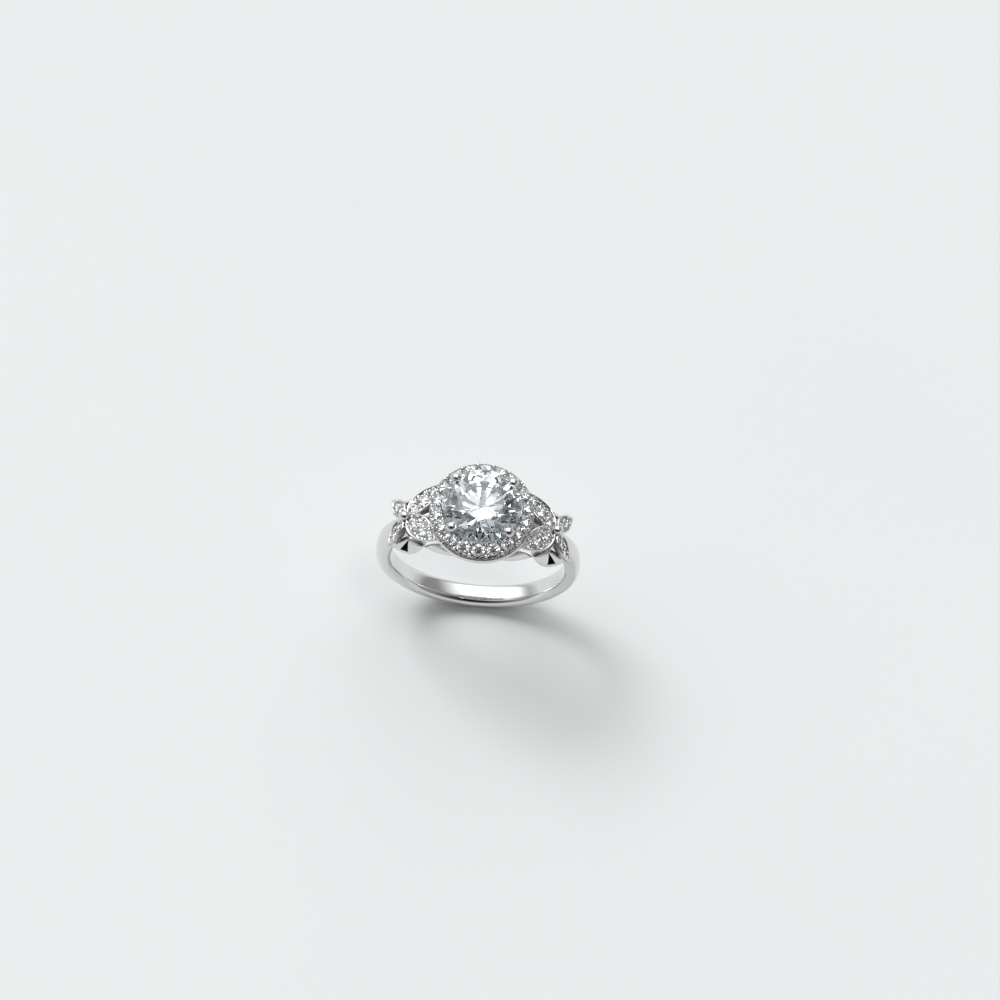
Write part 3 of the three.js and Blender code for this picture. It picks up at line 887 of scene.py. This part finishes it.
def repaint_pocket(leaf, place):
    """Paints the walls and the floor of the pocket near-black, as the shadow that lies in it."""
    xs, ys = zip(*POCKET_CORNERS)
    low = (min(xs) - 0.01, min(ys) - 0.01, -POCKET - 0.01)
    high = (max(xs) + 0.01, max(ys) + 0.01, -0.06)
    repaint(leaf, place, low, high, 1)


def make_leaves():
    pierced = pierced_leaf()
    gallery = as_mesh(domed_leaf(GALLERY_LEAF, gallery_outline), "gallery_leaf")
    for where, quarter in quarters():
        bm = bmesh.new()
        add_mesh(bm, pierced, quarter)
        leaf = finished(bm, f"side_leaf_{where}", [f"pierced_leaf_{where}"],
                        [POLISHED, POCKET_SHADOW])
        # The pocket's faces get the painted shadow.
        repaint_pocket(leaf, quarter @ leaf_place(PIERCED_LEAF))
        bm = bmesh.new()
        add_mesh(bm, gallery, quarter @ leaf_place(GALLERY_LEAF))
        finished(bm, f"rising_leaf_{where}", [f"gallery_leaf_{where}"], [POLISHED])


# ---------------------------------------------------------------- assembly
def make_ring():
    small_cut = brilliant(24)
    middle = Matrix.Translation((0, 0, GIRDLE_Z))
    set_stone(brilliant(96), "centre_stone", CENTRE_D, middle, CENTRE_GEM)
    for i, angle in enumerate(halo_angles(), 1):
        set_stone(small_cut, f"halo_stone_{i:02d}", HALO_D, halo_place(angle), SMALL_GEM)
    make_shank()
    make_head()
    make_halo()
    make_wings(small_cut)
    make_butterfly_bodies()
    make_leaves()


make_ring()


# ---------------------------------------------------------------- studio
FLOOR_Z = SHANK_LOW.z


def make_floor():
    finish = Finish("pale_floor")
    mottle = finish.noise(60.0, 2.0)
    material = finish.made(Base_Color=finish.blend((0.75, 0.765, 0.76), (0.79, 0.8, 0.795), mottle),
                           Roughness=0.9 + mottle * 0.05)
    bm = bmesh.new()
    bmesh.ops.create_grid(bm, x_segments=1, y_segments=1, size=3.0,
                          matrix=Matrix.Translation((0, 0, FLOOR_Z * MM)))
    floor = linked(as_mesh(bm, "floor"), "floor")
    floor.data.materials.append(material)


def softbox(name, place, size, power, colour=(1, 1, 1)):
    """A square soft light that faces the ring. Place and size are in metres."""
    data = bpy.data.lights.new(name, "AREA")
    data.size = size
    data.energy = power
    data.color = colour
    light = bpy.data.objects.new(name, data)
    light.location = place
    towards = Vector((0, 0, 0.008)) - Vector(place)
    light.rotation_euler = towards.to_track_quat("-Z", "Y").to_euler()
    bpy.context.collection.objects.link(light)


def make_world():
    """A pale room, dimmer above the horizon, with a dark patch high in front and a bright one behind."""
    world = bpy.data.worlds.new("studio")
    bpy.context.scene.world = world
    room = Shader(world)
    where = room.node("ShaderNodeTexCoord", output="Generated")
    height = room.node("ShaderNodeSeparateXYZ", {}, {0: where}, "Z")

    def patch(direction, wide, middle, outside):
        """One value towards a direction, another `wide` radians and more away from it."""
        facing = room.node("ShaderNodeVectorMath", {"operation": "DOT_PRODUCT"},
                           {0: where, 1: Vector(direction).normalized()}, "Value")
        return room.ramp(facing, math.cos(wide), 1.0, outside, middle)

    dimming = room.ramp(height, 0.03, 0.3, 0.7, 0.3)
    above_horizon = room.ramp(height, 0.1, 0.5, 0.0, 1.0)
    dark = patch((0, -0.43, 0.9), 1.0, 0.02, 1.0)
    glow = patch((-0.3, 0.6, 0.75), 1.15, 1.6, 0.0)
    level = dimming * dark + above_horizon * glow
    room.set(room.tree.nodes["Background"], {"Strength": level, "Color": (0.98, 0.99, 1.0, 1)})


make_floor()
make_world()
softbox("window", (-2.4, 2.4, 4.0), 1.76, 84.0, (0.98, 0.99, 1.0))
softbox("overhead", (1.2, -0.4, 4.8), 0.96, 26.0)

scene = bpy.context.scene
scene.view_settings.view_transform = "Standard"
scene.cycles.max_bounces = 16
scene.cycles.transmission_bounces = 14
scene.cycles.glossy_bounces = 6
